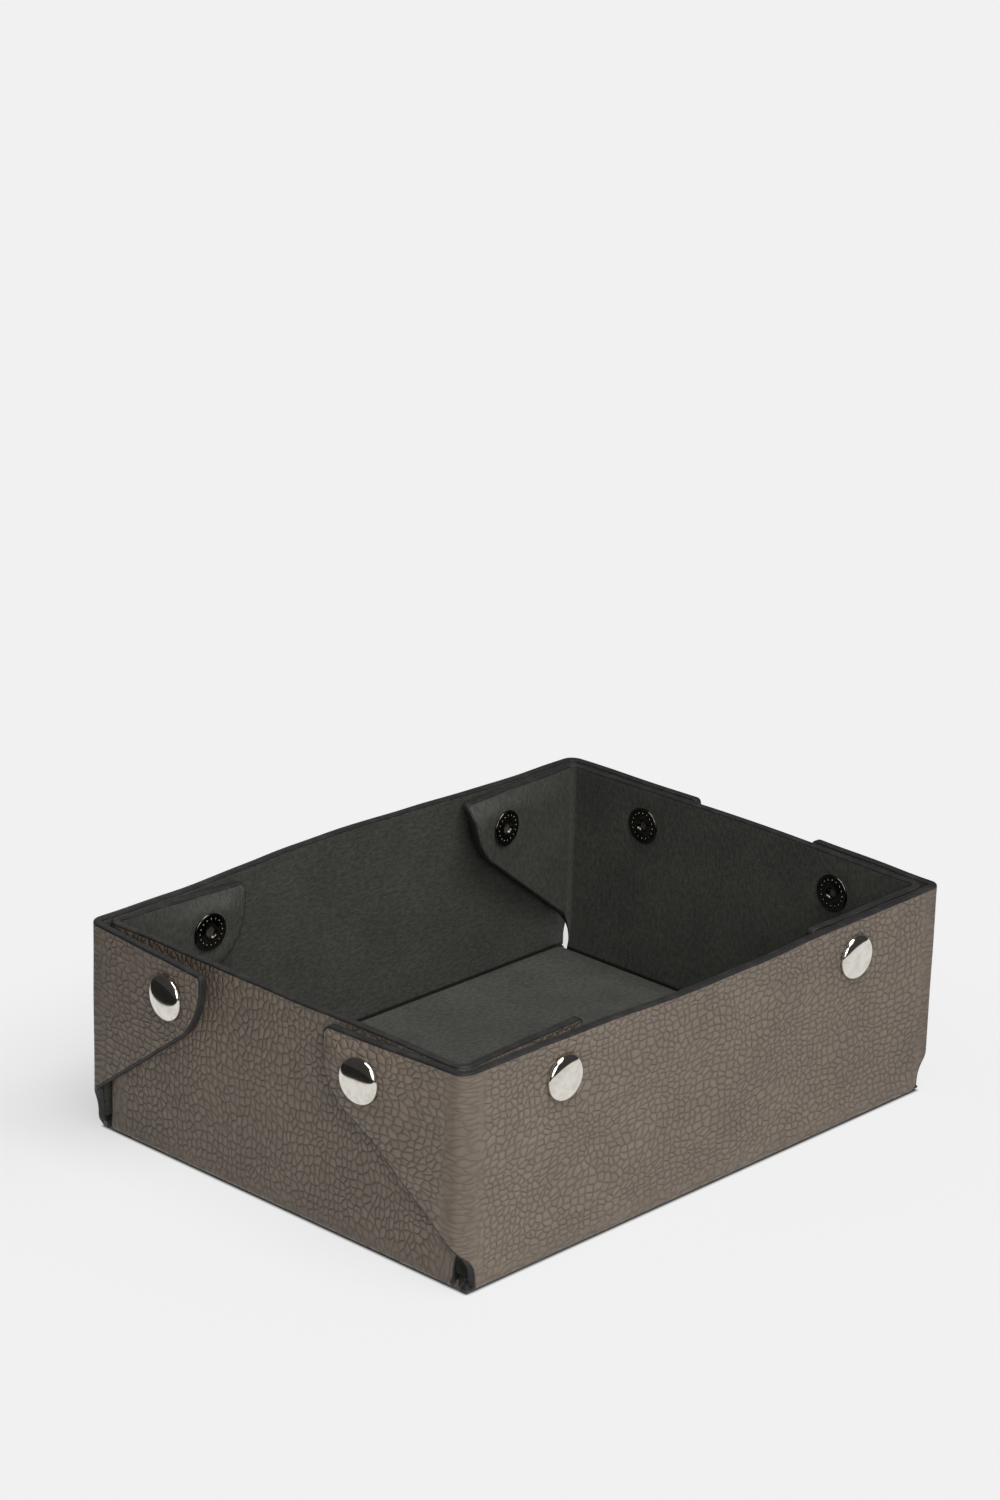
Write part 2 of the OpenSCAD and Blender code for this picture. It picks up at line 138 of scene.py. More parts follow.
def newMaterial(name):
    material = bpy.data.materials.new(name)
    material.use_nodes = True
    tree = material.node_tree
    return material, tree, tree.nodes["Principled BSDF"]


def linear(red, green, blue):
    # a colour given as it shows on a screen, from 0 to 255
    shares = [value / 255 for value in (red, green, blue)]
    return [s / 12.92 if s <= 0.04045 else ((s + 0.055) / 1.055) ** 2.4 for s in shares] + [1]


def mathNode(tree, operation, a, b=0.0, c=0.0):
    return addNode(tree, "ShaderNodeMath", {0: a, 1: b, 2: c}, operation=operation).outputs[0]


def mapRange(tree, value, low, high, start=0.0, end=1.0):
    sockets = {"Value": value, "From Min": low, "From Max": high, "To Min": start, "To Max": end}
    return addNode(tree, "ShaderNodeMapRange", sockets, interpolation_type="SMOOTHSTEP").outputs[0]


def mixColour(tree, share, a, b, blend="MIX"):
    node = addNode(tree, "ShaderNodeMix", {0: share, 6: a, 7: b}, data_type="RGBA", blend_type=blend)
    return node.outputs[2]


def noiseOn(tree, vector, scale, detail=2.0, roughness=0.5):
    sockets = {"Vector": vector, "Scale": scale, "Detail": detail, "Roughness": roughness}
    return addNode(tree, "ShaderNodeTexNoise", sockets).outputs[0]


def bumpOn(tree, height, distance):
    return addNode(tree, "ShaderNodeBump", {"Height": height, "Distance": distance}).outputs[0]


def attributeOf(tree, name):
    return addNode(tree, "ShaderNodeAttribute", attribute_name=name).outputs["Fac"]


def flatAndObject(tree):
    # the place on the flat sheet, and the place on the finished tray
    flat = addNode(tree, "ShaderNodeUVMap", uv_map="flat").outputs[0]
    return flat, addNode(tree, "ShaderNodeTexCoord").outputs["Object"]


# Painted edge of the sheet: charcoal, slightly glossy, laid on by hand
paint = {
    "colour": linear(37, 36, 36),
    "worn": linear(50, 48, 46),
    "wornScale": 260,
    "border": 0.58,          # how far the paint reaches from the rim on to the faces
    "wander": 0.28,          # how much that border wanders
    "wanderScale": 700,
    "soft": 0.05,            # how softly it ends
    "brushScale": 900,
    "brushHeight": 0.12,
    "roughness": 0.55,
    "specular": 0.3,
}


def paintColour(tree, objectPoint):
    patches = mapRange(tree, noiseOn(tree, objectPoint, paint["wornScale"], 3), 0.42, 0.72)
    return mixColour(tree, patches, paint["colour"], paint["worn"])


def paintMask(tree, objectPoint):
    # 1 where the paint lies, from the distance to the rim that each mesh carries
    uneven = noiseOn(tree, objectPoint, paint["wanderScale"], 2)
    wander = mathNode(tree, "MULTIPLY_ADD", uneven, paint["wander"], attributeOf(tree, "rim"))
    edge = paint["border"] + paint["wander"] / 2
    return mapRange(tree, wander, edge - paint["soft"], edge + paint["soft"], 1.0, 0.0)


# Pebbled taupe leather: domed pebbles with the creases between them darkened, partly the leather's own darker
# tone and partly painted shade, stretched level in the bends
pebble = {
    "size": 2.15,
    "rows": (0.88, 1.12, 1.0),       # pebbles are a little longer along the sheet than across it
    "drawnOut": (0.40, 1.25, 1.0),   # and much more so in a bend
    "random": 0.68,
    "drawnRandom": 0.95,
    "slowDrift": (60.0, 0.0055),     # scale and reach of the waves in the rows
    "quickDrift": (330.0, 0.0011),   # and of the small kinks in the creases
    "shoulder": 0.30,
    "crown": 0.6,
    "creaseWidth": 0.28,
    "creaseShadeDepth": 0.36,
    "height": 0.25,
    "poreScale": 3200,
    "patchScale": 45,
    "cell": linear(125, 113, 100),
    "cellDark": linear(112, 101, 89),
    # crease colour: the leather's own darker tone with painted shade of the valleys on top
    "shadedCrease": linear(76, 67, 58),
    "stretchTint": linear(99, 88, 77),
    "roughness": 0.50,
    "specular": 0.42,
}


def pebbleAt(tree, point, randomness):
    # distance to the nearest crease, distance to the middle of the pebble, and the pebble's own number
    sockets = {"Vector": point, "Scale": 1 / (pebble["size"] * mm), "Randomness": randomness}
    edge = addNode(tree, "ShaderNodeTexVoronoi", sockets, voronoi_dimensions="2D", feature="DISTANCE_TO_EDGE")
    middle = addNode(tree, "ShaderNodeTexVoronoi", sockets, voronoi_dimensions="2D")
    return edge.outputs["Distance"], middle.outputs["Distance"], middle.outputs["Color"]


def drift(tree, point, scale, reach):
    # pushes points about by up to that reach, slowly or quickly over the hide
    sockets = {"Vector": point, "Scale": scale, "Detail": 0.0}
    soft = addNode(tree, "ShaderNodeTexNoise", sockets).outputs["Color"]
    centred = addNode(tree, "ShaderNodeVectorMath", {0: soft, 1: (0.5, 0.5, 0.5)}, operation="SUBTRACT")
    push = addNode(tree, "ShaderNodeVectorMath", {0: centred.outputs[0], "Scale": reach}, operation="SCALE")
    return addNode(tree, "ShaderNodeVectorMath", {0: point, 1: push.outputs[0]}, operation="ADD").outputs[0]


def makePebbledLeather():
    material, tree, shader = newMaterial("pebbledLeather")
    flat, objectPoint = flatAndObject(tree)
    # the pebbles lie in wavy rows, and no crease between them runs dead straight
    rows = addNode(tree, "ShaderNodeMapping", {"Vector": flat, "Scale": pebble["rows"]}).outputs[0]
    warped = drift(tree, drift(tree, rows, *pebble["slowDrift"]), *pebble["quickDrift"])
    plain = pebbleAt(tree, warped, pebble["random"])
    drawn = addNode(tree, "ShaderNodeMapping", {"Vector": warped, "Scale": pebble["drawnOut"]}).outputs[0]
    drawnOut = pebbleAt(tree, drawn, pebble["drawnRandom"])
    stretch = attributeOf(tree, "stretch")
    toEdge = addNode(tree, "ShaderNodeMix", {0: stretch, 2: plain[0], 3: drawnOut[0]}).outputs[0]
    toMiddle = addNode(tree, "ShaderNodeMix", {0: stretch, 2: plain[1], 3: drawnOut[1]}).outputs[0]
    # a round shoulder at the crease, and a low crown over the whole pebble
    across = mathNode(tree, "MINIMUM", mathNode(tree, "MULTIPLY", toEdge, 1 / pebble["shoulder"]), 1.0)
    side = mathNode(tree, "SQRT", mathNode(tree, "MULTIPLY", across, mathNode(tree, "SUBTRACT", 2.0, across)))
    crown = mapRange(tree, toMiddle, 0.0, 0.75, pebble["crown"], 0.0)
    dome = mathNode(tree, "ADD", side, crown)
    shadedCrease = mapRange(tree, toEdge, 0.0, pebble["creaseWidth"], 1.0, 0.0)
    # each pebble has its own tone, and the hide has slow patches
    tone = addNode(tree, "ShaderNodeSeparateColor", {0: plain[2]}).outputs[0]
    patches = noiseOn(tree, flat, pebble["patchScale"], 4, 0.6)
    shade = mathNode(tree, "MULTIPLY_ADD", tone, 0.35, mathNode(tree, "MULTIPLY_ADD", patches, 1.5, -0.45))
    cells = mixColour(tree, mapRange(tree, shade, 0.0, 1.0), pebble["cell"], pebble["cellDark"])
    tinted = mixColour(tree, mathNode(tree, "MULTIPLY", stretch, 0.5), cells, pebble["stretchTint"])
    # the creases are darkened, partly their own tone and partly painted shade in the valleys
    dark = mathNode(tree, "MULTIPLY_ADD", stretch, -0.15, pebble["creaseShadeDepth"])
    hide = mixColour(tree, mathNode(tree, "MULTIPLY", shadedCrease, dark), tinted, pebble["shadedCrease"])
    painted = paintMask(tree, objectPoint)
    colour = mixColour(tree, painted, hide, paintColour(tree, objectPoint))
    tree.links.new(colour, shader.inputs["Base Color"])
    # grain: the domes, fine pores on them, and a smooth film where the paint lies
    pores = noiseOn(tree, flat, pebble["poreScale"], 3, 0.6)
    height = mathNode(tree, "MULTIPLY_ADD", pores, 0.10, dome)
    bare = mathNode(tree, "MULTIPLY_ADD", painted, -0.8, 1.0)
    calm = mathNode(tree, "MULTIPLY_ADD", stretch, -0.3, 1.0)
    film = mathNode(tree, "MULTIPLY", height, mathNode(tree, "MULTIPLY", bare, calm))
    tree.links.new(bumpOn(tree, film, pebble["height"] * mm), shader.inputs["Normal"])
    rough = mathNode(tree, "MULTIPLY_ADD", shadedCrease, 0.2, pebble["roughness"])
    tree.links.new(mathNode(tree, "MULTIPLY_ADD", painted, -0.08, rough), shader.inputs["Roughness"])
    shader.inputs["Specular IOR Level"].default_value = pebble["specular"]
    return material


# Smooth lining leather: dark grey-green, with fine pores, short wrinkles and faint mottling, and painted
# shade in the groove where the walls meet the base
lining = {
    "colour": linear(76, 77, 71),
    "dark": linear(68, 69, 64),
    # painted shade: the near-black that darkens the groove between wall and base
    "shadedCrease": linear(20, 20, 18),
    "pore": linear(40, 41, 38),
    "mottleScale": 60,
    "poreScale": 1900,
    "fineScale": 1500,
    "wrinkleScale": 1000,
    "wrinkleLength": (0.55, 1.0, 1.0),   # draws the wrinkles out along the sheet
    "contrast": 0.22,
    "height": 0.10,
    "roughness": 0.58,
    "specular": 0.38,
}


def makeLiningLeather():
    material, tree, shader = newMaterial("liningLeather")
    flat, objectPoint = flatAndObject(tree)
    mottle = mapRange(tree, noiseOn(tree, flat, lining["mottleScale"], 5, 0.65), 0.3, 0.7)
    plain = mixColour(tree, mottle, lining["colour"], lining["dark"])
    # painted shade along the groove where wall and base meet, from the attribute that marks it
    shadedCrease = mathNode(tree, "MULTIPLY", attributeOf(tree, "shadedCrease"), 0.9)
    shaded = mixColour(tree, shadedCrease, plain, lining["shadedCrease"])
    sockets = {"Vector": flat, "Scale": lining["poreScale"], "Randomness": 1.0}
    grain = addNode(tree, "ShaderNodeTexVoronoi", sockets, voronoi_dimensions="2D").outputs["Distance"]
    pores = mapRange(tree, grain, 0.0, 0.35, 1.0, 0.0)
    spotted = mixColour(tree, mathNode(tree, "MULTIPLY", pores, 0.4), shaded, lining["pore"])
    drawn = addNode(tree, "ShaderNodeMapping", {"Vector": flat, "Scale": lining["wrinkleLength"]}).outputs[0]
    wrinkles = noiseOn(tree, drawn, lining["wrinkleScale"], 2, 0.6)
    tone = mapRange(tree, wrinkles, 0.3, 0.7, 1 - lining["contrast"], 1 + lining["contrast"])
    wrinkled = mixColour(tree, 1.0, spotted, tone, "MULTIPLY")
    painted = paintMask(tree, objectPoint)
    colour = mixColour(tree, painted, wrinkled, paintColour(tree, objectPoint))
    tree.links.new(colour, shader.inputs["Base Color"])
    fine = noiseOn(tree, flat, lining["fineScale"], 4, 0.65)
    relief = mathNode(tree, "MULTIPLY_ADD", grain, 0.5, wrinkles)
    height = mathNode(tree, "MULTIPLY_ADD", fine, 0.8, relief)
    tree.links.new(bumpOn(tree, height, lining["height"] * mm), shader.inputs["Normal"])
    rough = mapRange(tree, fine, 0.3, 0.7, lining["roughness"] - 0.06, lining["roughness"] + 0.08)
    tree.links.new(rough, shader.inputs["Roughness"])
    shader.inputs["Specular IOR Level"].default_value = lining["specular"]
    return material


def makeEdgePaint():
    material, tree, shader = newMaterial("edgePaint")
    objectPoint = addNode(tree, "ShaderNodeTexCoord").outputs["Object"]
    tree.links.new(paintColour(tree, objectPoint), shader.inputs["Base Color"])
    uneven = noiseOn(tree, objectPoint, paint["brushScale"], 3)
    tree.links.new(bumpOn(tree, uneven, paint["brushHeight"] * mm), shader.inputs["Normal"])
    rough = mapRange(tree, uneven, 0.3, 0.7, paint["roughness"] - 0.07, paint["roughness"] + 0.1)
    tree.links.new(rough, shader.inputs["Roughness"])
    shader.inputs["Specular IOR Level"].default_value = paint["specular"]
    return material


# Plated metals: faint uneven polish, and fine rubbed lines of the scratch's height
metals = {
    "polishedNickel": {"bright": (226, 222, 214), "dull": (208, 203, 194), "rough": 0.09, "scratch": 0.0006},
    "blackNickel": {"bright": (92, 89, 84), "dull": (70, 67, 63), "rough": 0.20, "scratch": 0.002},
    "springSteel": {"bright": (196, 196, 198), "dull": (172, 172, 174), "rough": 0.25, "scratch": 0.002},
    "satinNickel": {"bright": (200, 197, 190), "dull": (176, 172, 165), "rough": 0.28, "scratch": 0.003},
}


def makeMetal(name):
    metal = metals[name]
    material, tree, shader = newMaterial(name)
    objectPoint = addNode(tree, "ShaderNodeTexCoord").outputs["Object"]
    clouds = mapRange(tree, noiseOn(tree, objectPoint, 380, 4, 0.6), 0.35, 0.75)
    colour = mixColour(tree, clouds, linear(*metal["bright"]), linear(*metal["dull"]))
    tree.links.new(colour, shader.inputs["Base Color"])
    drawn = addNode(tree, "ShaderNodeMapping", {"Vector": objectPoint, "Scale": (1.0, 1.0, 0.08)}).outputs[0]
    lines = noiseOn(tree, drawn, 5200, 3, 0.7)
    rough = mapRange(tree, lines, 0.3, 0.7, metal["rough"] * 0.75, metal["rough"] * 1.3)
    tree.links.new(rough, shader.inputs["Roughness"])
    tree.links.new(bumpOn(tree, lines, metal["scratch"] * mm), shader.inputs["Normal"])
    shader.inputs["Metallic"].default_value = 1.0
    return material


# Pressed grey board inside the base
fibreBoard = {
    "dark": linear(150, 141, 128),
    "pale": linear(172, 163, 149),
    "fibreScale": 900,
    "fibreHeight": 0.05,
    "roughness": 0.85,
}


def makeGreyBoard():
    material, tree, shader = newMaterial("greyBoard")
    objectPoint = addNode(tree, "ShaderNodeTexCoord").outputs["Object"]
    fibre = noiseOn(tree, objectPoint, fibreBoard["fibreScale"], 5, 0.7)
    tone = mixColour(tree, fibre, fibreBoard["dark"], fibreBoard["pale"])
    tree.links.new(tone, shader.inputs["Base Color"])
    tree.links.new(bumpOn(tree, fibre, fibreBoard["fibreHeight"] * mm), shader.inputs["Normal"])
    shader.inputs["Roughness"].default_value = fibreBoard["roughness"]
    return material


pebbledLeather = makePebbledLeather()
liningLeather = makeLiningLeather()
edgePaint = makeEdgePaint()
polishedNickel, blackNickel, springSteel, satinNickel = [makeMetal(name) for name in metals]
greyBoard = makeGreyBoard()
sheetMaterials = [pebbledLeather, liningLeather, edgePaint]
outside, inside, rimFace = 0, 1, 2
print("materials made")


# The flat cut of a wall with its two flaps. u runs along the wall, h up it, and depth into the sheet.
# Above the fold at the foot h is the height over the table.
cut = {
    "flapLength": 47,        # from the corner to the tip
    "flapHeel": 10.4,        # height at which the lower edge meets the corner
    "flapSlope": 37,         # degrees
    "bellyRadius": 20,       # where the lower edge turns up into the tip
    "tipRadius": 1.5,
    "tipDrop": 1,
    "rimRing": 1.0,          # width of the ring of faces along the rim
    "rimRound": 0.45,
    "footRound": 0.7,        # how far the end of a wall's foot is rounded off
    "footEnd": 0.9,          # below this height the ends of a wall's foot carry no paint
    "creaseShadeEnd": 3.3,        # the lining carries painted shade up to here, where it dips between wall and base
    "gridStep": 4.0,         # between the lines across the sheet
    "bendLines": 12,         # and how many of them there are in a bend
    "foldLines": 8,          # in a fold
    "flapLines": 10,         # on a flap past its bend
    "wallLines": 14,         # and on a wall above its fold
    "snapArea": 10,          # the mesh is finer this near to a snap
    "bendFade": (2.5, 6.5),  # the pebbles stretch this far to both sides of a bend's middle
    "foldFade": (1.5, 4.5),
    "foldStretch": 0.6,
    "bendGrows": (0.5, 6),   # the upright bends grow out of the foot between these heights
    "partLine": 1.5,         # wall and flap are parted this far before the bend
    "foldReach": 4.6,        # how far up and out the leather bends when a wall folds down
}
foldArc = tray["foldRadius"] * pi / 2
footStart = tray["foldRadius"] - foldArc


def makeStrip(half, turn, seam):
    # half is half the wall's length to its corner, seam how far its foot runs in under the base
    run = tray["bendRadius"] * tan(turn / 2)
    strip = {"turn": turn, "run": run, "flat": half - run, "seam": footStart - seam}
    strip["flapStart"] = strip["flat"] + tray["bendRadius"] * turn
    return strip


def onFlap(strip, distance):
    # u of a point on the flap at that distance from the corner
    return strip["flapStart"] + distance - strip["run"]


def rightHalfOutline(strip):
    radius, middleH = strip["relief"]
    slope = tan(radians(cut["flapSlope"]))
    # the opening's arc runs straight on into the lower edge of the flap
    reach = (radius / cos(radians(cut["flapSlope"])) + middleH - cut["flapHeel"]) / slope
    middleU = onFlap(strip, reach)
    footU = middleU - radius - cut["footRound"]
    points = [(footU, strip["seam"] - cut["gridStep"])]
    for step in range(5):
        u = footU + cut["footRound"] * sin(pi / 2 * step / 5)
        points.append((u, cut["footEnd"] + (middleH - cut["footEnd"]) * step / 5))
    for step in range(13):
        angle = radians(90 - cut["flapSlope"]) * step / 12
        points.append((middleU - radius * cos(angle), middleH + radius * sin(angle)))
    points.append((onFlap(strip, cut["flapLength"]), cut["flapHeel"] + cut["flapLength"] * slope))
    points.append((onFlap(strip, cut["flapLength"]), tray["height"] - cut["tipDrop"]))
    points.append((onFlap(strip, 0), tray["height"]))
    return points


def roundCorner(bm, corner, offset, segments):
    vert = min(bm.verts, key=lambda v: (v.co.xy - Vector(corner)).length)
    bmesh.ops.bevel(bm, geom=[vert], offset=offset, offset_type="OFFSET", segments=segments, profile=0.5,
                    affect="VERTICES", material=-1)


def cutAcross(bm, place, normal, clear=False):
    geometry = bm.verts[:] + bm.edges[:] + bm.faces[:]
    result = bmesh.ops.bisect_plane(bm, geom=geometry, dist=1e-4, plane_co=place, plane_no=normal,
                                    clear_outer=clear)
    if clear:
        edges = [e for e in result["geom_cut"] if isinstance(e, bmesh.types.BMEdge)]
        filled = bmesh.ops.holes_fill(bm, edges=edges, sides=0)
        for face in filled["faces"]:
            face.material_index = rimFace
        for edge in edges:
            edge.smooth = False


def thickenAndRound(bm, thickness):
    # gives the flat face its thickness and rounds its rim; returns the rim wall for measuring distances
    bmesh.ops.inset_region(bm, faces=bm.faces[:], thickness=cut["rimRing"], use_even_offset=True,
                           use_boundary=True)
    grown = bmesh.ops.extrude_face_region(bm, geom=bm.faces[:], use_keep_orig=True)
    fresh = [v for v in grown["geom"] if isinstance(v, bmesh.types.BMVert)]
    bmesh.ops.translate(bm, verts=fresh, vec=(0, 0, thickness))
    bmesh.ops.recalc_face_normals(bm, faces=bm.faces[:])
    walls = [f for f in bm.faces if abs(f.normal.z) < 0.5]
    painted = [f for f in walls if f.calc_center_median().y > cut["footEnd"]]
    points = []
    for face in painted:
        points.extend(v.co.copy() for v in face.verts)
    quads = [tuple(range(4 * i, 4 * i + 4)) for i in range(len(painted))]
    rimTree = BVHTree.FromPolygons(points, quads)
    wallSet = set(walls)
    rimEdges = [e for e in bm.edges if sum(f in wallSet for f in e.link_faces) == 1]
    bmesh.ops.bevel(bm, geom=rimEdges, offset=cut["rimRound"], offset_type="OFFSET", segments=3, profile=0.5,
                    affect="EDGES", material=-1, clamp_overlap=True)
    return rimTree


def sortFaces(bm, thickness):
    for face in bm.faces:
        level = all(abs(v.co.z - face.verts[0].co.z) < 1e-4 for v in face.verts)
        middle = face.calc_center_median()
        if not level and middle.y > cut["footEnd"]:
            face.material_index = rimFace
        elif middle.z < thickness * 0.8:
            face.material_index = outside
        else:
            face.material_index = inside


def refineNear(bm, centre, radius, cuts):
    near = [f for f in bm.faces if (f.calc_center_median().xy - Vector(centre)).length < radius]
    edges = {e for f in near for e in f.edges}
    bmesh.ops.subdivide_edges(bm, edges=list(edges), cuts=cuts, use_grid_fill=True)


def flatStrip(strip, snaps):
    right = rightHalfOutline(strip)
    outline = right + [(-u, h) for u, h in reversed(right)]
    bm = bmesh.new()
    bm.faces.new([bm.verts.new((u, h, 0)) for u, h in outline])
    tip = onFlap(strip, cut["flapLength"])
    belly = cut["flapHeel"] + cut["flapLength"] * tan(radians(cut["flapSlope"]))
    bellyOffset = cut["bellyRadius"] * tan(radians(90 - cut["flapSlope"]) / 2)
    for side in (1, -1):
        roundCorner(bm, (side * tip, belly), bellyOffset, 12)
        roundCorner(bm, (side * tip, tray["height"] - cut["tipDrop"]), cut["tipRadius"], 6)
    rimTree = thickenAndRound(bm, tray["sheet"])
    sortFaces(bm, tray["sheet"])
    # lines across the sheet: close together in the bends and the fold, wide apart elsewhere
    step, bendLines, foldLines = cut["gridStep"], cut["bendLines"], cut["foldLines"]
    bend = strip["flapStart"] - strip["flat"]
    lines = [strip["flat"] + bend * i / bendLines for i in range(bendLines + 1)]
    lines += [step * i for i in range(1, int(strip["flat"] / step))]
    lines += [strip["flapStart"] + step * i for i in range(1, cut["flapLines"] + 1)]
    for u in lines:
        cutAcross(bm, (u, 0, 0), (1, 0, 0))
        cutAcross(bm, (-u, 0, 0), (1, 0, 0))
    cutAcross(bm, (0, 0, 0), (1, 0, 0))
    levels = [footStart + foldArc * i / foldLines for i in range(foldLines + 1)]
    levels += [cut["creaseShadeEnd"], cut["creaseShadeEnd"] + 0.5]
    levels += [tray["foldRadius"] + step * i for i in range(1, cut["wallLines"] + 1)]
    for h in levels:
        cutAcross(bm, (0, h, 0), (0, 1, 0))
    for u, h, _, _ in snaps:
        refineNear(bm, (u, h), cut["snapArea"], 2)
    return bm, rimTree


def measureSheet(bm, strip, rimTree, flatPoint):
    # keeps the flat pattern as a UV map, the distance to the rim and the stretch of the bends
    rim = bm.verts.layers.float.new("rim")
    stretch = bm.verts.layers.float.new("stretch")
    shadedCrease = bm.verts.layers.float.new("shadedCrease")
    flat = bm.loops.layers.uv.new("flat")
    middle = (strip["flat"] + strip["flapStart"]) / 2
    for vert in bm.verts:
        vert[rim] = rimTree.find_nearest(vert.co)[3]
        upright = 1 - smoothStep(abs(abs(vert.co.x) - middle), *cut["bendFade"])
        foot = 1 - smoothStep(abs(vert.co.y - 0.5), *cut["foldFade"])
        vert[stretch] = max(upright, foot * cut["foldStretch"])
        # marks the lining's foot for painted shade in the groove at the base
        vert[shadedCrease] = 1 if vert.co.y < cut["creaseShadeEnd"] + 0.1 else 0
    for face in bm.faces:
        for loop in face.loops:
            u, v = flatPoint(loop.vert.co.x, loop.vert.co.y)
            loop[flat].uv = (u * mm, v * mm)


# How the walls have worked loose in use: the long walls belly out between their snaps
wear = {
    "bowSpan": 56,           # half the width of the belly
    "bowPower": 1.3,         # how much the belly grows with the height
    "crownSpan": 80,         # half the width over which the top edge is cut higher or lower
    "uneven": 0.30,          # slow dents in the leather
    "unevenSize": (30, 26),
    "wave": 0.35,            # of the top edge
    "waveLength": 17,
    "dimple": 0.30,          # the ring that a snap presses into the leather
    "dimpleWidth": 1.1,
    "flatRound": (7, 22),    # dents fade out this near to a snap
    "pressedRound": (8, 17), # a flap is pressed from this far round its snap
    "pressedTop": (53.5, 59.5),
}


def workLoose(bm, strip, snaps, seed):
    for vert in bm.verts:
        u, h, depth = vert.co
        rise = smoothStep(h, 4, 40)
        belly = cos(min(abs(u) / wear["bowSpan"], 1) * pi / 2) ** 2
        bow = strip["bow"] * belly * (max(h, 0) / tray["height"]) ** wear["bowPower"]
        dentU, dentH = wear["unevenSize"]
        uneven = wear["uneven"] * noise.noise(Vector((u / dentU, h / dentH, seed))) * rise
        wave = wear["wave"] * noise.noise(Vector((u / wear["waveLength"], seed, 3.1))) * smoothStep(h, 30, 60)
        wave += strip["crown"] * cos(min(abs(u) / wear["crownSpan"], 1) * pi / 2) ** 2 * smoothStep(h, 20, 60)
        press = 0
        for snapU, snapH, radius, side in snaps:
            away = sqrt((u - snapU) ** 2 + (h - snapH) ** 2)
            uneven *= smoothStep(away, *wear["flatRound"])
            if (depth < tray["sheet"] / 2) == (side == outside):
                dip = exp(-((away - radius) / wear["dimpleWidth"]) ** 2) * wear["dimple"]
                press += dip if side == outside else -dip
        # the flap's lean goes back towards the wall beside it, all round the snap or at the top alone
        fromCorner = max(abs(u) - strip["flapStart"] + strip["run"], 0)
        allRound, atTop = strip["pressed"][0 if u < 0 else 1]
        fromSnap = sqrt((fromCorner - snap["fromCorner"]) ** 2 + (h - snap["height"]) ** 2)
        allRound *= smoothStep(fromSnap, *wear["pressedRound"])
        atTop *= smoothStep(h, *wear["pressedTop"])
        press += fromCorner * cos(strip["turn"]) * max(allRound, atTop)
        vert.co.z = depth - bow + uneven + press
        vert.co.y = h + wave


def foldPoint(strip, u, h, depth):
    # where a point of the flat sheet lies once the sheet is folded: x along the wall, y inwards, z up
    bend, fold = tray["bendRadius"], tray["foldRadius"]
    past = abs(u) - strip["flat"]
    angle = min(max(past / bend, 0), strip["turn"])
    beyond = max(abs(u) - strip["flapStart"], 0)
    bentX = strip["flat"] + min(past, 0) + (bend - depth) * sin(angle) + beyond * cos(angle)
    bentY = bend - (bend - depth) * cos(angle) + beyond * sin(angle) - depth
    share = smoothStep(h, *cut["bendGrows"])
    x = abs(u) + (bentX - abs(u)) * share
    turned = min(max(fold - h, 0) / fold, pi / 2)
    level = max(footStart - h, 0)
    y = fold - (fold - depth) * cos(turned) + level + bentY * share
    z = h if h >= fold else fold - (fold - depth) * sin(turned)
    return Vector((x if u >= 0 else -x, y, z))


def onLongWall(back):
    side = 1 if back else -1
    return lambda p: Vector((p.x, side * (tray["longWallY"] - p.y), p.z))


def onShortWall(right):
    side = 1 if right else -1
    return lambda p: Vector((side * (tray["shortWallX"] - p.y), -p.x, p.z))


def meshPiece(bm, name, materials):
    mesh = bpy.data.meshes.new(name)
    bm.to_mesh(mesh)
    bm.free()
    mesh.transform(Matrix.Scale(mm, 4))
    for material in materials:
        mesh.materials.append(material)
    for polygon in mesh.polygons:
        polygon.use_smooth = True
    piece = bpy.data.objects.new(name, mesh)
    bpy.context.scene.collection.objects.link(piece)
    return piece


def foldedPiece(flat, strip, place, name):
    for vert in flat.verts:
        vert.co = place(foldPoint(strip, *vert.co))
    bmesh.ops.recalc_face_normals(flat, faces=flat.faces[:])
    crowded = [f for f in flat.faces if len(f.verts) > 4]
    bmesh.ops.triangulate(flat, faces=crowded)
    return meshPiece(flat, name, sheetMaterials)


def seat(strip, place, u, h, depth, side):
    # frame of a snap part: Z points away from the sheet, Y up
    origin = place(foldPoint(strip, u, h, depth))
    deeper = place(foldPoint(strip, u, h, depth + 0.01))
    away = (origin - deeper).normalized() if side == outside else (deeper - origin).normalized()
    up = Vector((0, 0, 1))
    across = up.cross(away)
    matrix = Matrix((across, up, away)).transposed().to_4x4()
    matrix.translation = origin
    return matrix


def rideAndReplace(piece, body, slot, *nodes):
    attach(piece, body)
    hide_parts(*nodes)


# Snap places: on the flaps by the distance from the corner, on the walls as the frame has them
snap = {
    "fromCorner": 33,
    "height": 49,
    "capRadius": 6.25,
    "eyeletRadius": 5.3,
}
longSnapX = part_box("front_wall_caps")[1].x / mm - snap["capRadius"]
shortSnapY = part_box("left_wall_eyelets")[1].y / mm - snap["eyeletRadius"]
outerTurn = radians(flapTurn)
innerTurn = pi - outerTurn
longStrip = makeStrip(tray["cornerX"], outerTurn, tray["longWallY"] - tray["foldRadius"] - seamY)
shortStrip = makeStrip(tray["cornerY"], innerTurn, tray["shortWallX"] - tray["foldRadius"] - seamX)


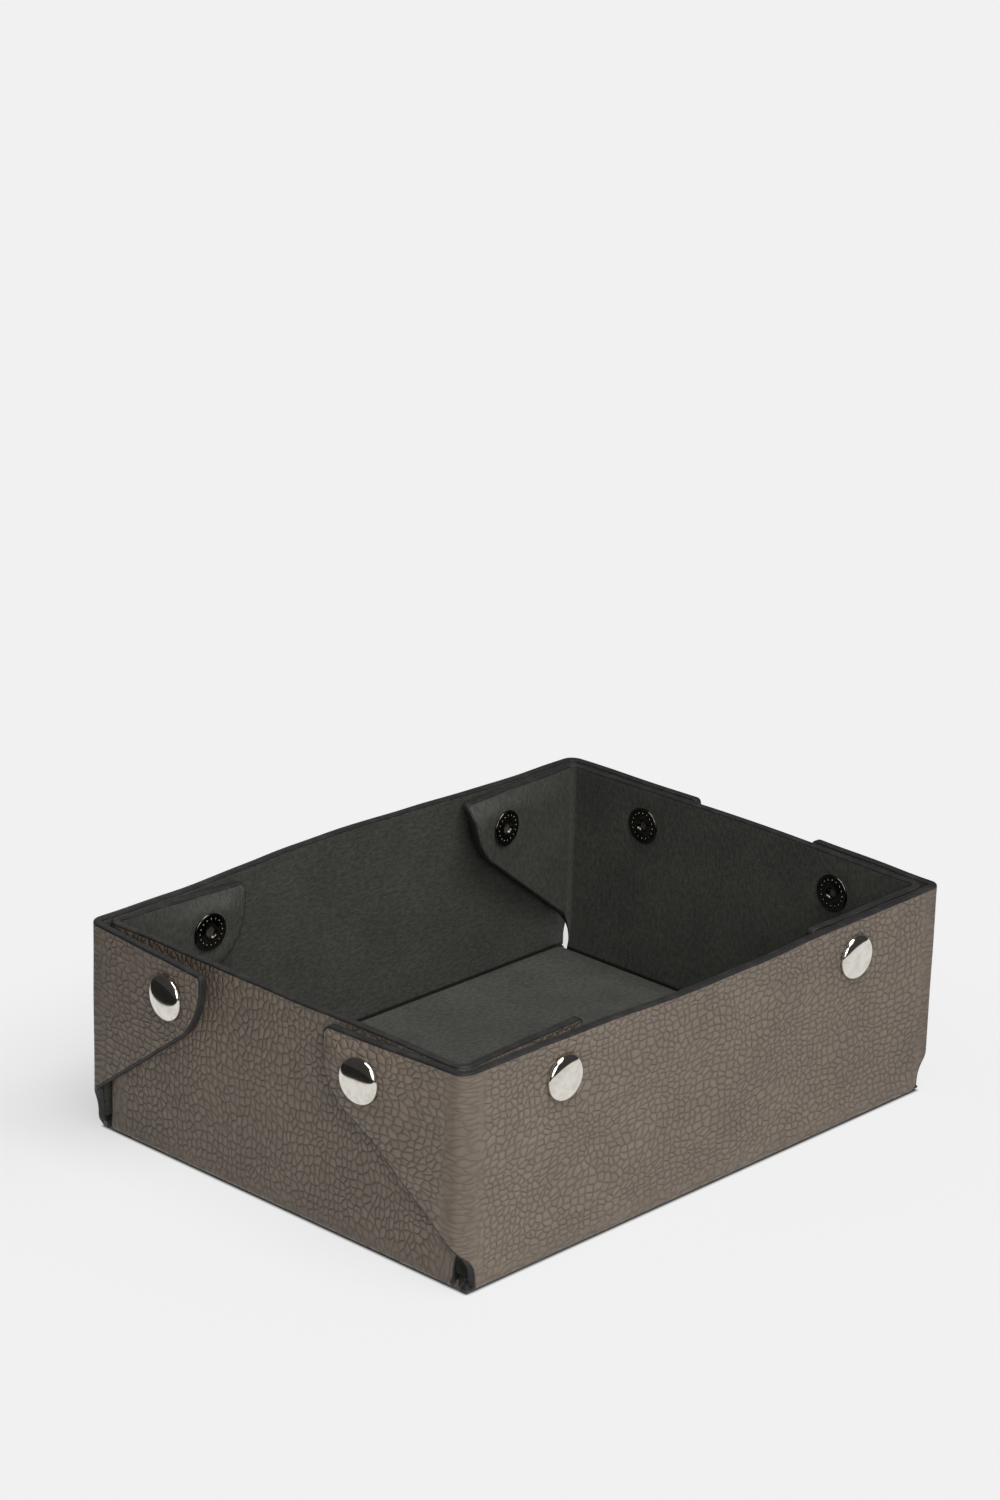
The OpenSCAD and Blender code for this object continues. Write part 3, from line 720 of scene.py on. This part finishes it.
def buildWall(strip, flatPoint, side, radius, wallSnap, wall):
    # one wall with its two flaps, as a flat sheet; the caller folds its three parts
    strip = dict(strip, **wall)
    flapSnap = onFlap(strip, snap["fromCorner"])
    snaps = [(s * u, snap["height"], radius, side) for u in (wallSnap, flapSnap) for s in (1, -1)]
    bm, rimTree = flatStrip(strip, snaps)
    measureSheet(bm, strip, rimTree, flatPoint)
    workLoose(bm, strip, snaps, wall["seed"])
    cutAcross(bm, (0, strip["seam"], 0), (0, -1, 0), clear=True)
    parts = {}
    cutLine = strip["flat"] - cut["partLine"]
    for name, sign in (("plus", 1), ("minus", -1)):
        parts[name] = bm.copy()
        cutAcross(parts[name], (sign * cutLine, 0, 0), (-sign, 0, 0), clear=True)
    for sign in (1, -1):
        cutAcross(bm, (sign * cutLine, 0, 0), (sign, 0, 0), clear=True)
    parts["wall"] = bm
    return strip, parts


# relief: the opening at each corner is an arc, with this radius and this height of its middle
# pressed: how much of its lean each flap loses round its snap and at its top, the flap at u < 0 first
walls = {
    "front": {"seed": 1.7, "relief": (7.6, 3.6), "bow": 1.3, "crown": -0.5, "pressed": ((0.6, 0.8), (0, 0))},
    "back": {"seed": 5.3, "relief": (10.0, 4.2), "bow": 1.3, "crown": 1.2, "pressed": ((0, 0), (0, 0))},
    "left": {"seed": 9.1, "relief": (11.3, 5.0), "bow": 0.4, "crown": 0, "pressed": ((0.6, 0.8), (0, 0))},
    "right": {"seed": 13.9, "relief": (11.3, 5.0), "bow": 1.5, "crown": 0, "pressed": ((0, 0.9), (0.8, 0.8))},
}
seats = []


def addSeats(node, body, strip, place, spots, side):
    depth = 0 if side == outside else tray["sheet"]
    seats.append((node, body, [seat(strip, place, u, snap["height"], depth, side) for u in spots]))


def makeFlap(flat, strip, place, sign, body, side):
    flap = foldedPiece(flat, strip, place, f"{body}_sheet")
    # where the bend begins, at its first line clear of the sheet's inner face, and where it ends; both points
    # are worked out here but not used
    start = place(foldPoint(strip, sign * strip["flat"], snap["height"], tray["sheet"]))
    end = place(foldPoint(strip, sign * strip["flapStart"], snap["height"], 0))
    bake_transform(flap)
    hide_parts(f"{body}_leather", f"{body}_lining")
    part = "cap" if side == outside else "eyelet"
    addSeats(f"{body}_{part}", body, strip, place, [sign * onFlap(strip, snap["fromCorner"])], side)


def makeLongWalls():
    reach = tray["longWallY"] - tray["foldRadius"] - footStart
    for back, name in ((False, "front"), (True, "back")):
        place = onLongWall(back)
        sideY = 1 if back else -1
        strip, parts = buildWall(longStrip, lambda u, h: (u, sideY * (reach + h)), outside,
                                 snap["capRadius"], longSnapX, walls[name])
        wall = foldedPiece(parts["wall"], strip, place, f"{name}_wall_sheet")
        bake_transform(wall)
        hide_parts(f"{name}_wall_leather", f"{name}_wall_lining")
        for key, sign, end in (("plus", 1, "right"), ("minus", -1, "left")):
            makeFlap(parts[key], strip, place, sign, f"{name}_{end}_flap", outside)
        addSeats(f"{name}_wall_caps", f"{name}_wall", strip, place, (longSnapX, -longSnapX), outside)
        print(name, "wall folded")


def makeShortWalls():
    reach = tray["shortWallX"] - tray["foldRadius"] - footStart
    for right, name in ((False, "left"), (True, "right")):
        place = onShortWall(right)
        sideX = 1 if right else -1
        strip, parts = buildWall(shortStrip, lambda u, h: (sideX * (reach + h), -u), inside,
                                 snap["eyeletRadius"], shortSnapY, walls[name])
        wall = foldedPiece(parts["wall"], strip, place, f"{name}_wall_sheet")
        rideAndReplace(wall, "base", "leather", f"{name}_wall_leather", f"{name}_wall_lining")
        # u runs towards the front on both short walls
        for key, sign, end in (("plus", 1, "front"), ("minus", -1, "back")):
            makeFlap(parts[key], strip, place, sign, f"{name}_{end}_flap", inside)
        addSeats(f"{name}_wall_eyelets", "base", strip, place, (shortSnapY, -shortSnapY), inside)
        print(name, "wall folded")


# Base: leather underneath, lining lifted over the board into a flat raised panel
base = {
    "edgeRound": 0.75,
    "gridStep": 6.0,
    "edgeSteps": (1.5, 3.0),   # further lines across it, this far in from its edge
    "sag": 0.12,
    "sagSize": 40,
    "noRim": 50,               # no painted rim is nearer than this
    "cupLip": radians(58),     # how far round the fold the corner's edge lies
    "cupRound": 0.25,
    "cupInset": 0.08,
    "cupPaint": 0.3,           # the edge paint runs down over the corner to this height
    "cupSquare": 5,            # 2 is round, higher numbers come closer to a square corner
}


def addCornerCup(bm, sideX):
    # the leather that closes the base's corner under the opening: the fold's section spun by a quarter turn
    fold, lip = tray["foldRadius"], base["cupLip"]
    full, thin = fold - base["cupInset"], fold - tray["sheet"]
    section = [(full * sin(lip * i / 8), fold - full * cos(lip * i / 8)) for i in range(9)]
    outer, inner = section[-1], (thin * sin(lip), fold - thin * cos(lip))
    along = Vector((cos(lip), sin(lip)))
    section[-1] = tuple(Vector(outer) - along * base["cupRound"])
    section.append(tuple(Vector(outer).lerp(Vector(inner), 0.2)))
    section += [tuple(Vector(outer).lerp(Vector(inner), 0.8)), inner, (0, tray["sheet"])]
    verts = [bm.verts.new((r, 0, z)) for r, z in section]
    geometry = verts + [bm.edges.new(pair) for pair in zip(verts, verts[1:])]
    before = set(bm.faces)
    bmesh.ops.spin(bm, geom=geometry, cent=(0, 0, 0), axis=(0, 0, 1), angle=pi / 2, steps=12)
    shell = [f for f in bm.faces if f not in before]
    corner = list({v for f in shell for v in f.verts})
    bmesh.ops.remove_doubles(bm, verts=corner, dist=1e-4)
    shell = [f for f in bm.faces if f not in before]
    corner = list({v for f in shell for v in f.verts})
    for face in shell:
        middle = face.calc_center_median()
        away = sqrt(middle.xy.length_squared + (fold - middle.z) ** 2)
        underneath = away > full - 0.35 and middle.z < base["cupPaint"]
        face.material_index = outside if underneath else inside if away < thin + 0.3 else rimFace
    power = base["cupSquare"]
    for vert in corner:
        radius = vert.co.xy.length
        if radius > 0.01:
            swell = abs(vert.co.x / radius) ** power + abs(vert.co.y / radius) ** power
            vert.co.xy *= swell ** (-1 / power)
    gaps = [e for e in {e for f in shell for e in f.edges} if e.is_boundary]
    bmesh.ops.holes_fill(bm, edges=gaps, sides=0)
    for vert in corner:
        x, y = vert.co.x + tray["shortWallX"] - fold, vert.co.y + tray["longWallY"] - fold
        vert.co.x, vert.co.y = sideX * x, -y


def makeBase():
    bm = bmesh.new()
    bmesh.ops.create_cube(bm, size=1)
    thickness = tray["sheet"] + tray["board"]
    bmesh.ops.scale(bm, vec=(2 * seamX, 2 * seamY, thickness), verts=bm.verts)
    bmesh.ops.translate(bm, vec=(0, 0, thickness / 2), verts=bm.verts)
    topEdges = [e for e in bm.edges if all(v.co.z > thickness / 2 for v in e.verts)]
    bmesh.ops.bevel(bm, geom=topEdges, offset=base["edgeRound"], offset_type="OFFSET", segments=3,
                    profile=0.5, affect="EDGES", material=-1)
    for seam, normal in ((seamX, Vector((1, 0, 0))), (seamY, Vector((0, 1, 0)))):
        lines = [i * base["gridStep"] for i in range(1, int(seam / base["gridStep"]) + 1)]
        for line in lines + [seam - inset for inset in base["edgeSteps"]]:
            for side in (1, -1):
                cutAcross(bm, normal * side * line, normal)
    for vert in bm.verts:
        if vert.co.z > thickness - 0.01:
            clear = min(seamX - abs(vert.co.x), seamY - abs(vert.co.y))
            lift = noise.noise(Vector((vert.co.x / base["sagSize"], vert.co.y / base["sagSize"], 2.2)))
            vert.co.z += base["sag"] * lift * smoothStep(clear, 0.5, 12)
    for face in bm.faces:
        face.material_index = outside if face.normal.z < -0.5 else inside
    # at the back the foot of the wall itself covers the corners
    for sideX in (1, -1):
        addCornerCup(bm, sideX)
    rim = bm.verts.layers.float.new("rim")
    shadedCrease = bm.verts.layers.float.new("shadedCrease")
    flat = bm.loops.layers.uv.new("flat")
    for vert in bm.verts:
        vert[rim] = base["noRim"]
        clear = min(seamX - abs(vert.co.x), seamY - abs(vert.co.y))
        # marks the panel's edge for painted shade in the groove by the walls
        vert[shadedCrease] = 1 if clear < base["edgeRound"] * 0.6 else 0
    for face in bm.faces:
        for loop in face.loops:
            loop[flat].uv = (loop.vert.co.x * mm, loop.vert.co.y * mm)
    bmesh.ops.recalc_face_normals(bm, faces=bm.faces[:])
    piece = meshPiece(bm, "base_sheet", sheetMaterials)
    rideAndReplace(piece, "base", "leather", "base_leather", "base_lining")


makeBase()
makeLongWalls()
makeShortWalls()


# Press stud parts that show: domed caps outside, eyelets inside, both spun round their axis
cap = {
    "radius": snap["capRadius"],
    "height": 2.3,
    "spread": 0.92,          # the crown is flat in the middle, and turns down over a round shoulder
    "fall": 0.80,
    "rimWidth": 0.25,
    "sink": 0.05,            # how deep the rim presses into the leather
    "post": 1.5,
    "postEnd": 3.05,
    "roll": 2.1,
    "rollHeight": 0.25,
    "rollRound": 0.06,
}
eyelet = {
    "radius": snap["eyeletRadius"],
    "ring": 0.60,            # height of the flat ring
    "lip": 0.80,             # and of the lip round the mouth
    "mouth": 1.7,
    "bore": 1.05,
    "tube": 1.35,
    "tubeEnd": 3.8,
    "dots": 16,
    "dotCircle": 3.75,
    "dotRadius": 0.46,
    "dotFlat": 0.75,
    "dotHeight": 0.58,
}


def spunShape(profile, bm):
    # profile is radius and height, from the axis or back to its own start
    verts = [bm.verts.new((r, 0, z)) for r, z in profile]
    edges = [bm.edges.new(pair) for pair in zip(verts, verts[1:])]
    bmesh.ops.spin(bm, geom=verts + edges, cent=(0, 0, 0), axis=(0, 0, 1), angle=2 * pi, steps=64,
                   use_merge=True)


def capProfile():
    points = [(0, cap["height"])]
    for step in range(1, 25):
        angle = pi / 2 * step / 24
        fall = cap["height"] * cos(angle) ** cap["fall"] if step < 24 else 0.0
        points.append((cap["radius"] * sin(angle) ** cap["spread"], fall))
    points += [(cap["radius"] - cap["rimWidth"], -cap["sink"]), (cap["post"], -cap["sink"])]
    # the post behind the cap, and its rolled end
    post, roll, small = cap["post"], cap["roll"], cap["rollRound"]
    top, end = cap["rollHeight"] - cap["postEnd"], -cap["postEnd"]
    points += [(post, top), (roll - small, top), (roll, top - small)]
    points += [(roll, end + small), (roll - small, end), (0, end)]
    return points


def eyeletProfile():
    # the ring rises from the lining, and its mouth rolls down into the tube
    edge, mouth, bore, tube = eyelet["radius"], eyelet["mouth"], eyelet["bore"], eyelet["tube"]
    ring, lip, end = eyelet["ring"], eyelet["lip"], -eyelet["tubeEnd"]
    points = [(tube, end), (tube, 0), (edge - 0.1, 0), (edge, ring - 0.48)]
    points += [(edge, ring - 0.30), (edge - 0.12, ring - 0.12), (edge - 0.38, ring - 0.02)]
    points += [(edge - 0.65, ring), (mouth + 0.95, ring), (mouth + 0.72, lip - 0.06)]
    points += [(mouth + 0.42, lip), (mouth + 0.14, lip - 0.08), (mouth - 0.10, lip - 0.32)]
    points += [(mouth - 0.30, lip - 0.70), (bore, -0.5), (bore, end)]
    return points + points[:1]


def addDots(bm):
    for i in range(eyelet["dots"]):
        turn = 2 * pi * i / eyelet["dots"]
        spot = Vector((eyelet["dotCircle"] * cos(turn), eyelet["dotCircle"] * sin(turn), eyelet["dotHeight"]))
        place = Matrix.Translation(spot) @ Matrix.Diagonal((1, 1, eyelet["dotFlat"], 1))
        bmesh.ops.create_uvsphere(bm, u_segments=10, v_segments=7, radius=eyelet["dotRadius"], matrix=place)


def makeSnapPiece(name, body, matrices, kind):
    bm = bmesh.new()
    for matrix in matrices:
        part = bmesh.new()
        if kind == "cap":
            spunShape(capProfile(), part)
        else:
            spunShape(eyeletProfile(), part)
            addDots(part)
        bmesh.ops.remove_doubles(part, verts=part.verts, dist=1e-4)
        bmesh.ops.transform(part, matrix=matrix, verts=part.verts)
        bmesh.ops.recalc_face_normals(part, faces=part.faces[:])
        spare = bpy.data.meshes.new("spare")
        part.to_mesh(spare)
        part.free()
        bm.from_mesh(spare)
        bpy.data.meshes.remove(spare)
    material = polishedNickel if kind == "cap" else blackNickel
    piece = meshPiece(bm, f"{name}_spun", [material])
    rideAndReplace(piece, body, "cap" if kind == "cap" else "eyelet", name)


for name, body, matrices in seats:
    makeSnapPiece(name, body, matrices, "cap" if "cap" in name else "eyelet")
print("caps and eyelets spun")


# Inner snap parts and the board keep their CAD shape and get a finish
finishes = {"socket": satinNickel, "stud": satinNickel, "spring": springSteel, "board": greyBoard}
for name, node in frame["nodes"].items():
    for word, material in finishes.items():
        if word in name:
            node.data.materials.clear()
            node.data.materials.append(material)


# Pale floor: an even tone to the camera, and a real surface to light and shadow, with a painted contact
# shadow right at the tray's foot
studio = {
    "floorSize": 8000,
    "floorDrop": 0.03,
    "floorShown": linear(241, 241, 241),
    "floorLit": linear(225, 225, 225),
    # painted contact shadow: the floor's colour right under the tray's foot
    "floorContactShade": linear(120, 122, 121),
    "footprint": (0.0886, 0.0666, 0.0),
    "contact": 0.0017,         # this near to the tray the real light shows, and the floor is darkest with a painted contact shadow
    "shadowReach": 0.10,       # past this distance from the tray the camera sees the even tone alone
    "shadowFront": 0.12,       # how much of the real light shows in front of the tray
    "shadowBack": 0.42,        # and how much behind it
    "shadowTurn": (0.03, 0.10),
    "tableAway": (-0.82, 0.57, 0),
    "tableEnd": 0.19,
    "tableSoft": 0.012,
    "room": linear(40, 39, 37),
    "world": 0.03,
    "worldGlossy": 0.05,
}
lamps = {
    "overLamp": {"place": (0, -0.35, 1.30), "size": 0.7, "power": 12.3},
    "frontLamp": {"place": (-0.06, -0.64, 0.90), "size": 0.55, "power": 2.0},
    "nearLamp": {"place": (-0.38, -0.50, 0.40), "size": 0.3, "power": 1.7},
    "sideLamp": {"place": (-0.44, -0.44, 0.24), "size": 0.25, "power": 0.5},
    "backLamp": {"place": (0.45, 0.85, 0.35), "size": 0.4, "power": 0.5},
}


def makeFloor():
    material, tree, shader = newMaterial("paleFloor")
    tree.nodes.remove(shader)
    output = tree.nodes["Material Output"]
    even = addNode(tree, "ShaderNodeEmission", {"Color": studio["floorShown"], "Strength": 1.0}).outputs[0]
    objectPoint = addNode(tree, "ShaderNodeTexCoord").outputs["Object"]
    folded = addNode(tree, "ShaderNodeVectorMath", {0: objectPoint}, operation="ABSOLUTE").outputs[0]
    past = addNode(tree, "ShaderNodeVectorMath", {0: folded, 1: studio["footprint"]}, operation="SUBTRACT")
    outer = addNode(tree, "ShaderNodeVectorMath", {0: past.outputs[0], 1: (0, 0, 0)}, operation="MAXIMUM")
    away = addNode(tree, "ShaderNodeVectorMath", {0: outer.outputs[0]}, operation="LENGTH").outputs["Value"]
    fade = mapRange(tree, away, 0.0, studio["shadowReach"], 1.0, 0.0)
    across = addNode(tree, "ShaderNodeSeparateXYZ", {0: objectPoint}).outputs["Y"]
    strength = mapRange(tree, across, *studio["shadowTurn"], studio["shadowFront"], studio["shadowBack"])
    close = mapRange(tree, away, 0.0, studio["contact"], 1.0, 0.0)
    # painted contact shadow: the floor's colour darkens toward the tray's foot
    tone = mixColour(tree, close, studio["floorLit"], studio["floorContactShade"])
    diffuse = addNode(tree, "ShaderNodeBsdfDiffuse", {"Color": tone}).outputs[0]
    share = mathNode(tree, "MAXIMUM", close, mathNode(tree, "MULTIPLY", fade, strength))
    shown = addNode(tree, "ShaderNodeMixShader", {0: share, 1: even, 2: diffuse}).outputs[0]
    path = addNode(tree, "ShaderNodeLightPath").outputs
    seen = mathNode(tree, "MAXIMUM", path["Is Camera Ray"], path["Is Transmission Ray"])
    plain = addNode(tree, "ShaderNodeMixShader", {0: seen, 1: diffuse, 2: shown}).outputs[0]
    # polished parts see a pale table that ends on the far left, and a dark room past it
    sockets = {0: objectPoint, 1: studio["tableAway"]}
    along = addNode(tree, "ShaderNodeVectorMath", sockets, operation="DOT_PRODUCT").outputs["Value"]
    edge = mapRange(tree, along, studio["tableEnd"], studio["tableEnd"] + studio["tableSoft"])
    dark = addNode(tree, "ShaderNodeEmission", {"Color": studio["room"], "Strength": 1.0}).outputs[0]
    table = addNode(tree, "ShaderNodeMixShader", {0: edge, 1: even, 2: dark}).outputs[0]
    mixed = addNode(tree, "ShaderNodeMixShader", {0: path["Is Glossy Ray"], 1: plain, 2: table}).outputs[0]
    tree.links.new(mixed, output.inputs["Surface"])
    bm = bmesh.new()
    bmesh.ops.create_grid(bm, x_segments=4, y_segments=4, size=studio["floorSize"] / 2)
    bmesh.ops.translate(bm, vec=(0, 0, -studio["floorDrop"]), verts=bm.verts)
    floor = meshPiece(bm, "floor", [material])


def addLamp(name, lamp):
    data = bpy.data.lights.new(name, "AREA")
    data.shape = "SQUARE"
    data.size = lamp["size"]
    data.energy = lamp["power"]
    light = bpy.data.objects.new(name, data)
    light.location = lamp["place"]
    light.rotation_mode = "QUATERNION"
    light.rotation_quaternion = Vector(lamp["place"]).to_track_quat("Z", "Y")
    bpy.context.scene.collection.objects.link(light)


def makeStudio():
    for name, lamp in lamps.items():
        addLamp(name, lamp)
    world = bpy.data.worlds.new("studio")
    world.use_nodes = True
    tree = world.node_tree
    background = tree.nodes["Background"]
    glossy = addNode(tree, "ShaderNodeLightPath").outputs["Is Glossy Ray"]
    extra = studio["worldGlossy"] - studio["world"]
    strength = mathNode(tree, "MULTIPLY_ADD", glossy, extra, studio["world"])
    tree.links.new(strength, background.inputs["Strength"])
    background.inputs["Color"].default_value = (1, 1, 1, 1)
    bpy.context.scene.world = world
    bpy.context.scene.view_settings.view_transform = "Standard"


makeFloor()
makeStudio()
print("studio set")
